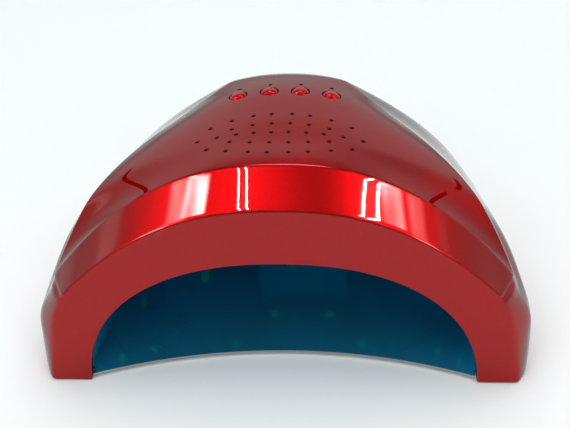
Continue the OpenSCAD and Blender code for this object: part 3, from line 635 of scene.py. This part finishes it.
VENTS = [
    [49.2, -0.0088, [4, 11.2, 19.6, 27.7]],
    [42.5, -0.0072, [3.6, 11, 19]],
    [36.5, -0.0018, [3.4, 10.2, 17, 24.5]],
    [29.6, 0.005, [3.7, 11.2, 19.2, 32.2]],
    [22.7, 0.0072, [4.1, 11.5, 20.1, 28]]]
PITCH, BUTTON_Y, BUTTON_D, HOLE_D, PIN_D, PIN_BACK = 12.6, 67.0, 6.8, 7.6, 1.5, 6.6
BX = [-1.5 * PITCH, -0.5 * PITCH, 0.5 * PITCH, 1.5 * PITCH]
BY = [BUTTON_Y - (0.9 if abs(x) > PITCH else 0) for x in BX]


def joined(pieces, name):
    """One mesh from (bmesh, place in working mm) pairs."""
    all_bm = bmesh.new()
    for bm, place in pieces:
        for v in bm.verts:
            v.co = Vector(to_row(np.array(v.co) + np.array(place)))
        me = bpy.data.meshes.new("tmp")
        bm.to_mesh(me)
        bm.free()
        all_bm.from_mesh(me)
        bpy.data.meshes.remove(me)
    bmesh.ops.recalc_face_normals(all_bm, faces=all_bm.faces)
    me = bpy.data.meshes.new(name)
    all_bm.to_mesh(me)
    all_bm.free()
    ob = bpy.data.objects.new(name, me)
    scene.collection.objects.link(ob)
    return ob


def hole(d, z, depth, ch, seg=32):
    """Cutter for a hole with a small chamfered mouth at height z."""
    r = d / 2
    return lathe([(0, z - depth), (r, z - depth), (r, z - ch), (r + 6, z - ch + 6), (0, z - ch + 6)], seg)


def lean(bm, x, y, above):
    """Shears everything above a height so that it follows the crown's slope at (x, y)."""
    gx = (crown(x + 2, y) - crown(x - 2, y)) / 4
    gy = (crown(x, y + 2) - crown(x, y - 2)) / 4
    for v in bm.verts:
        if v.co.z > above:
            v.co.z += gx * v.co.x + gy * v.co.y
    return bm


cutters = []
for y0, bend, xs in VENTS:
    for x in xs:
        for s in (-1, 1):
            y = y0 + bend * x * x
            cutters.append((hole(1.6, crown(x, y), 8, 0.12, 24), (s * x, y, 0)))
for x, y in zip(BX, BY):
    cutters.append((lean(hole(HOLE_D, crown(x, y), 7, 0.22, 64), x, y, crown(x, y) - 0.5), (x, y, 0)))
    cutters.append((hole(PIN_D, crown(x, y + PIN_BACK), 8, 0.1, 24), (x, y + PIN_BACK, 0)))
cut_obj = joined(cutters, "cutters")
jack = lathe([(0, -6), (4.8, -6), (4.8, 5.75), (5.3, 6.25), (5.3, 20), (0, 20)], 64)
for v in jack.verts:
    v.co = Vector((v.co.x, v.co.z, -v.co.y))
jack_obj = joined([(jack, (0, L_BODY - 6, 16.5))], "jack_cutter")

posts = []
CB_Z, CB_T, FRAME_TOP = 81.6, 1.6, 4.4
for x, y in [(-24.5, 60), (24.5, 60), (-15, 79.5), (15, 79.5)]:
    z0, z1 = CB_Z + CB_T, crown(x, y) - 1.2
    posts.append((lathe([(0, z0 + 4.4), (1.05, z0 + 4.4), (1.05, z0), (2.5, z0), (2.5, z1), (0, z1)], 32), (x, y, 0)))
for x, y in [(-88, 24), (88, 24), (-45, 152), (45, 152)]:
    z0 = FRAME_TOP
    posts.append((lathe([(0, z0 + 12), (1.55, z0 + 12), (1.55, z0), (3.2, z0), (3.2, z0 + 20), (0, z0 + 20)], 32), (x, y, 0)))
    w = lines(y)[1] - abs(x) - 1.4
    web = bmesh.new()
    bmesh.ops.create_cube(web, size=1.0, matrix=Matrix.Translation((math.copysign(2.4 + w / 2, x), 0, z0 + 10)) @ Matrix.Diagonal((w - 2.4, 2, 20, 1)))
    posts.append((web, (x, y, 0)))
post_obj = joined(posts, "posts")

shell = build_shell()
for o in (shell, cut_obj, jack_obj, post_obj):
    o.data.materials.clear()
    o.data.materials.append(M["shell"])
    o.data.materials.append(M["raw"])
for o in (cut_obj, jack_obj, post_obj):
    o.data.polygons.foreach_set("material_index", [1] * len(o.data.polygons))
for q in cut_obj.data.polygons:         # the mouths of the button holes are painted
    c = q.center / MM - Vector((0, -L_BODY / 2, PAD))
    if min(math.hypot(c.x - x, c.y - y) for x, y in zip(BX, BY)) < HOLE_D / 2 + 0.3:
        q.material_index = 0


def boolean(target, other, op):
    md = target.modifiers.new("b", "BOOLEAN")
    md.operation = op
    md.material_mode = "INDEX"
    md.object = other
    try:
        md.solver = "MANIFOLD"
    except TypeError:
        md.solver = "EXACT"
    dg = bpy.context.evaluated_depsgraph_get()
    dg.update()
    me = bpy.data.meshes.new_from_object(target.evaluated_get(dg))
    before = len(target.data.polygons)
    if len(me.polygons) < before * 0.5:
        md.solver = "EXACT"
        dg = bpy.context.evaluated_depsgraph_get()
        me = bpy.data.meshes.new_from_object(target.evaluated_get(dg))
    target.modifiers.clear()
    target.data = me


boolean(shell, post_obj, "UNION")
boolean(shell, cut_obj, "DIFFERENCE")
boolean(shell, jack_obj, "DIFFERENCE")
for o in (cut_obj, jack_obj, post_obj):
    bpy.data.objects.remove(o)


def smooth(ob, angle=35):
    me = ob.data
    me.polygons.foreach_set("use_smooth", [True] * len(me.polygons))
    me.set_sharp_from_angle(angle=math.radians(angle))
    me.update()


smooth(shell, 22)
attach(shell, BODY)
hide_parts("top_shell")

# ---------------------------------------------------------------- buttons
for i, (x, y) in enumerate(zip(BX, BY)):
    z = crown(x, y)
    f = crown(abs(x) + 4.3, y) - WALL - 0.4
    r = BUTTON_D / 2
    t = z - 0.15                                       # top of the rim round the dome
    prof = [(0, f - 1.2), (4.1, f - 1.2), (4.3, f - 1.0), (4.3, f - 0.2), (4.1, f), (r + 0.1, f), (r, f + 0.1), (r, t - 0.3)]
    prof += [(r - 0.3 + 0.3 * math.cos(a), t - 0.3 + 0.3 * math.sin(a)) for a in np.radians(np.arange(10, 91, 10))]
    prof += [(r - 0.38, t - 0.04), (r - 0.46, t - 0.02)]                             # fine groove round the dome
    rd, hd = r - 0.5, 1.25
    prof += [(rd * math.cos(a), t + hd * math.sin(a)) for a in np.radians(np.linspace(4, 86, 18))]
    prof += [(0, t + hd)]
    ob = joined([(lean(lathe(prof, 72), x, y, f + 0.15), (x, y, 0))], f"button_cap_{i + 1}")
    ob.data.materials.append(M["button"])
    smooth(ob, 50)
    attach(ob, f"button_{i + 1}_stack")
    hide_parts(f"button_{i + 1}")

# ---------------------------------------------------------------- stage, light
def emitter(name, centre, normal, size, strength, col=(1, 1, 1), roll=0.0, camera=False, glossy=True, diffuse=True, shadow=False,
            soft=(0.0, 0.0), streak=0.0):
    """A flat glowing card that stands far from the object."""
    n = Vector(normal).normalized()
    me = bpy.data.meshes.new(name)
    w, h = size[0] / 2, size[1] / 2
    me.from_pydata([(-w, -h, 0), (w, -h, 0), (w, h, 0), (-w, h, 0)], [], [(0, 1, 2, 3)])
    ob = bpy.data.objects.new(name, me)
    scene.collection.objects.link(ob)
    ob.matrix_world = Matrix.Translation(Vector(centre)) @ n.to_track_quat("Z", "Y").to_matrix().to_4x4() @ Matrix.Rotation(roll, 4, "Z")
    mt = bpy.data.materials.new(name)
    mt.use_nodes = True
    nt = mt.node_tree
    nt.nodes.remove(nt.nodes["Principled BSDF"])
    em = nt.nodes.new("ShaderNodeEmission")
    em.inputs["Color"].default_value = (*col, 1)
    em.inputs["Strength"].default_value = strength
    if strength > 0:                    # what lies behind the card still shows
        ad = nt.nodes.new("ShaderNodeAddShader")
        tp = nt.nodes.new("ShaderNodeBsdfTransparent")
        nt.links.new(tp.outputs[0], ad.inputs[0])
        nt.links.new(em.outputs[0], ad.inputs[1])
        nt.links.new(ad.outputs[0], nt.nodes["Material Output"].inputs["Surface"])
    else:
        nt.links.new(em.outputs[0], nt.nodes["Material Output"].inputs["Surface"])
    if soft[0] or soft[1] or streak:
        tc = nt.nodes.new("ShaderNodeTexCoord")
        sep = nt.nodes.new("ShaderNodeSeparateXYZ")
        nt.links.new(tc.outputs["Object"], sep.inputs[0])
        last = None
        for axis, half, edge in ((0, w, soft[0]), (1, h, soft[1])):
            if not edge:
                continue
            ab = nt.nodes.new("ShaderNodeMath")
            ab.operation = "ABSOLUTE"
            nt.links.new(sep.outputs[axis], ab.inputs[0])
            mr = nt.nodes.new("ShaderNodeMapRange")
            mr.interpolation_type = "SMOOTHSTEP"
            mr.inputs["From Min"].default_value = half * (1 - edge)
            mr.inputs["From Max"].default_value = half
            mr.inputs["To Min"].default_value = strength if last is None else 1.0
            mr.inputs["To Max"].default_value = 0.0
            nt.links.new(ab.outputs[0], mr.inputs["Value"])
            if last is None:
                last = mr.outputs["Result"]
            else:
                mu = nt.nodes.new("ShaderNodeMath")
                mu.operation = "MULTIPLY"
                nt.links.new(last, mu.inputs[0])
                nt.links.new(mr.outputs["Result"], mu.inputs[1])
                last = mu.outputs[0]
        if streak:
            ns = nt.nodes.new("ShaderNodeTexNoise")
            ns.inputs["Scale"].default_value = 7.0
            ns.inputs["Detail"].default_value = 2.0
            mp = nt.nodes.new("ShaderNodeMapping")
            mp.inputs["Scale"].default_value = (2.2, 0.35, 1.0)
            nt.links.new(tc.outputs["Object"], mp.inputs["Vector"])
            nt.links.new(mp.outputs["Vector"], ns.inputs["Vector"])
            mr = nt.nodes.new("ShaderNodeMapRange")
            mr.inputs["From Min"].default_value = 0.35
            mr.inputs["From Max"].default_value = 0.65
            mr.inputs["To Min"].default_value = 1.0 - streak
            mr.inputs["To Max"].default_value = 1.0
            nt.links.new(ns.outputs["Fac"], mr.inputs["Value"])
            mu = nt.nodes.new("ShaderNodeMath")
            mu.operation = "MULTIPLY"
            nt.links.new(last, mu.inputs[0])
            nt.links.new(mr.outputs["Result"], mu.inputs[1])
            last = mu.outputs[0]
        nt.links.new(last, em.inputs["Strength"])
    me.materials.append(mt)
    ob.visible_camera = camera
    ob.visible_glossy = glossy
    ob.visible_diffuse = diffuse
    ob.visible_transmission = glossy
    ob.visible_shadow = shadow
    return ob


def card_at(name, d, dist, size, strength, roll=0.0, eye=(0.0, -0.088, 0.082), **kw):
    """A card seen in direction d from a point on the object, width across and height up from there."""
    d = Vector(d).normalized()
    return emitter(name, d * dist + Vector(eye), -d, size, strength, roll=roll, **kw)


def area(name, loc, target, size, power, glossy=True, col=(1, 1, 1)):
    ld = bpy.data.lights.new(name, "AREA")
    ld.shape = "RECTANGLE"
    ld.size, ld.size_y = size
    ld.energy = power
    ld.color = col
    ob = bpy.data.objects.new(name, ld)
    scene.collection.objects.link(ob)
    ob.location = loc
    ob.rotation_mode = "QUATERNION"
    ob.rotation_quaternion = (Vector(target) - Vector(loc)).to_track_quat("-Z", "Y")
    ob.visible_glossy = glossy
    return ob


def sweep():
    """Pale floor that runs up into a wall behind the object."""
    t = Tree("pale_paper")
    t.set(Metallic=0.0)
    t.bsdf.inputs["Specular IOR Level"].default_value = 0.15
    a = t.noise(3.0, 3.0)
    b = t.noise(600.0, 3.0)
    t.link(t.ramp(a, [(0.3, (0.905, 0.935, 0.93)), (0.7, (0.92, 0.95, 0.945))]), t.bsdf.inputs["Base Color"])
    t.link(t.span(b, 0.7, 0.9), t.bsdf.inputs["Roughness"])
    t.bump(b, 0.05, 0.0002)
    r = 0.35
    wall = [(0.9 + r * math.sin(a), r - r * math.cos(a)) for a in np.radians(np.arange(0, 91, 6))] + [(0.9 + r, 1.25)]
    xs = (-3.0, -1.0, 1.0, 3.0)
    for name, prof, seen in (("paper_floor", [(-3.0, 0.0), (-1.5, 0.0), (0.0, 0.0), (0.9, 0.0)], True), ("paper_wall", wall, False)):
        vs = [(x, y, z) for y, z in prof for x in xs]
        fs = [(k * 4 + j, k * 4 + j + 1, (k + 1) * 4 + j + 1, (k + 1) * 4 + j) for k in range(len(prof) - 1) for j in range(3)]
        me = bpy.data.meshes.new(name)
        me.from_pydata(vs, [], fs)
        me.polygons.foreach_set("use_smooth", [True] * len(me.polygons))
        me.materials.append(t.mat)
        ob = bpy.data.objects.new(name, me)
        scene.collection.objects.link(ob)
        ob.visible_glossy = seen


def surround():
    """What the glossy surfaces mirror: a room that is pale near the horizon behind the object and dark overhead."""
    bm = bmesh.new()
    bmesh.ops.create_uvsphere(bm, u_segments=48, v_segments=24, radius=4.0)
    me = bpy.data.meshes.new("surround")
    bm.to_mesh(me)
    bm.free()
    ob = bpy.data.objects.new("surround", me)
    scene.collection.objects.link(ob)
    ob.location = (0, 0, 0.08)
    t = Tree("surround")
    t.nt.nodes.remove(t.bsdf)
    em = t.n("ShaderNodeEmission")
    tc = t.n("ShaderNodeTexCoord")
    nrm = t.n("ShaderNodeVectorMath", operation="NORMALIZE")
    t.link(tc.outputs["Object"], nrm.inputs[0])
    sep = t.n("ShaderNodeSeparateXYZ")
    t.link(nrm.outputs[0], sep.inputs[0])

    def curve(fac, pts):
        return t.ramp(fac, [(p, (c, c, c)) for p, c in pts])
    up = curve(sep.outputs[2], BACK_CURVE)                       # sine of the elevation
    low = curve(sep.outputs[2], FRONT_CURVE)
    mr = t.n("ShaderNodeMapRange", interpolation_type="SMOOTHSTEP")
    mr.inputs["From Min"].default_value = 0.05
    mr.inputs["From Max"].default_value = 0.75
    t.link(sep.outputs[1], mr.inputs["Value"])
    mx = t.n("ShaderNodeMix", data_type="RGBA")
    t.link(mr.outputs["Result"], mx.inputs["Factor"])
    t.link(low, mx.inputs[6])
    t.link(up, mx.inputs[7])
    t.link(mx.outputs[2], em.inputs["Color"])
    em.inputs["Strength"].default_value = 1.0
    t.link(em.outputs[0], t.out.inputs["Surface"])
    t.mat.cycles.emission_sampling = "NONE"
    me.materials.append(t.mat)
    ob.visible_camera = False
    ob.visible_diffuse = False
    ob.visible_shadow = False
    ob.visible_glossy = True
    ob.visible_transmission = False


BACK_CURVE = [(0.0, 0.85), (0.05, 0.75), (0.12, 0.50), (0.24, 0.85), (0.62, 0.92), (0.68, 0.70), (0.76, 0.32), (0.88, 0.12), (1.0, 0.06)]
FRONT_CURVE = [(0.0, 0.55), (0.2, 0.40), (0.5, 0.36), (0.7, 0.25), (0.85, 0.15), (1.0, 0.12)]
sweep()
surround()
world = bpy.data.worlds.new("studio")
scene.world = world
world.use_nodes = True
world.node_tree.nodes["Background"].inputs["Color"].default_value = (0.9, 0.95, 1.0, 1)
world.node_tree.nodes["Background"].inputs["Strength"].default_value = 0.18

# even light on the paper; not seen in reflections
area("over_soft", (0.0, 0.45, 1.8), (0, 0.2, 0), (2.4, 1.8), 20.0, glossy=False, col=(0.97, 0.99, 1.0))
area("front_soft", (0.0, -1.1, 1.1), (0, -0.1, 0), (2.0, 1.2), 17.5, glossy=False, col=(0.97, 0.99, 1.0))
area("back_soft", (0.0, 0.1, 1.2), (0, 1.3, 0.5), (1.6, 0.8), 1.7, glossy=False, col=(0.97, 0.99, 1.0))


def strip(name, top, bottom, width, strength, dist=2.0, **kw):
    """A card whose long axis runs between two seen directions."""
    a, b = Vector(top).normalized(), Vector(bottom).normalized()
    mid = (a + b).normalized()
    q = (-mid).to_track_quat("Z", "Y")
    ax = q.inverted() @ (a - b)
    roll = math.atan2(-ax.x, ax.y)
    length = (a - b).length * dist * kw.pop("over", 1.0)
    return card_at(name, mid, dist, (width, length), strength, roll, diffuse=False, **kw)


# ladder-like ceiling lamps, mirrored in the bevel
for k, off in enumerate((-0.022, 0.022)):
    strip(f"tube_l_{k}", (-0.228 + off, -0.200, 0.947), (-0.209 + off, -0.270, 0.945), 0.017, 460.0, over=1.5, soft=(0.5, 0.25))
for k, off in enumerate((-0.030, 0.030)):
    strip(f"tube_r_{k}", (0.495 + off, -0.105, 0.853), (0.400 + off, -0.195, 0.905), 0.010, 760.0, over=1.3, soft=(0.5, 0.25))
# windows at both sides
strip("window_l", (-0.555, -0.105, 0.825), (-0.458, -0.165, 0.873), 0.13, 42.0, 1.6, over=1.7, soft=(0.8, 0.4), streak=0.8)
strip("window_l_haze", (-0.66, -0.06, 0.75), (-0.56, -0.12, 0.82), 0.24, 10.0, 1.7, over=1.7, soft=(1.0, 0.6), streak=0.7)
strip("window_r", (0.665, -0.005, 0.745), (0.520, -0.100, 0.848), 0.075, 34.0, 1.6, over=1.1, soft=(0.9, 0.5), streak=0.85)
strip("window_r_haze", (0.76, 0.08, 0.66), (0.70, 0.00, 0.72), 0.12, 4.0, 1.7, over=1.6, soft=(1.0, 0.6), streak=0.6)
strip("side_l", (-0.872, 0.25, 0.42), (-0.893, 0.33, 0.31), 0.26, 0.9, 1.6, over=2.2, soft=(1.0, 0.8), streak=0.3)
strip("side_r", (0.81, 0.16, 0.57), (0.835, 0.20, 0.52), 0.14, 0.5, 1.6, over=2.2, soft=(1.0, 0.8), streak=0.3)
# soft boxes in front at both sides, just off the bevel's mirror line
card_at("front_l", (-0.72, -0.27, 0.64), 1.6, (0.42, 0.42), 46.0, soft=(0.7, 0.7), diffuse=False)
card_at("front_r", (0.75, -0.17, 0.64), 1.6, (0.36, 0.36), 37.0, soft=(0.7, 0.7), diffuse=False)
# glow overhead, behind the bevel's line of sight
card_at("over_glow", (0.0, 0.40, 0.917), 1.6, (0.8, 0.3), 11.0, soft=(0.8, 0.8), diffuse=False)
# dark arms of the lamp stand
strip("arm_l", (-0.80, 0.34, 0.49), (-0.62, 0.72, 0.30), 0.036, 0.0, 1.3)
strip("arm_r", (0.80, 0.30, 0.53), (0.612, 0.723, 0.32), 0.036, 0.0, 1.3)

vs = scene.view_settings
vs.view_transform = "Standard"
vs.look = "None"
vs.exposure = 0.0
cy = scene.cycles
cy.max_bounces = 14
cy.glossy_bounces = 8
cy.transparent_max_bounces = 24
cy.diffuse_bounces = 4
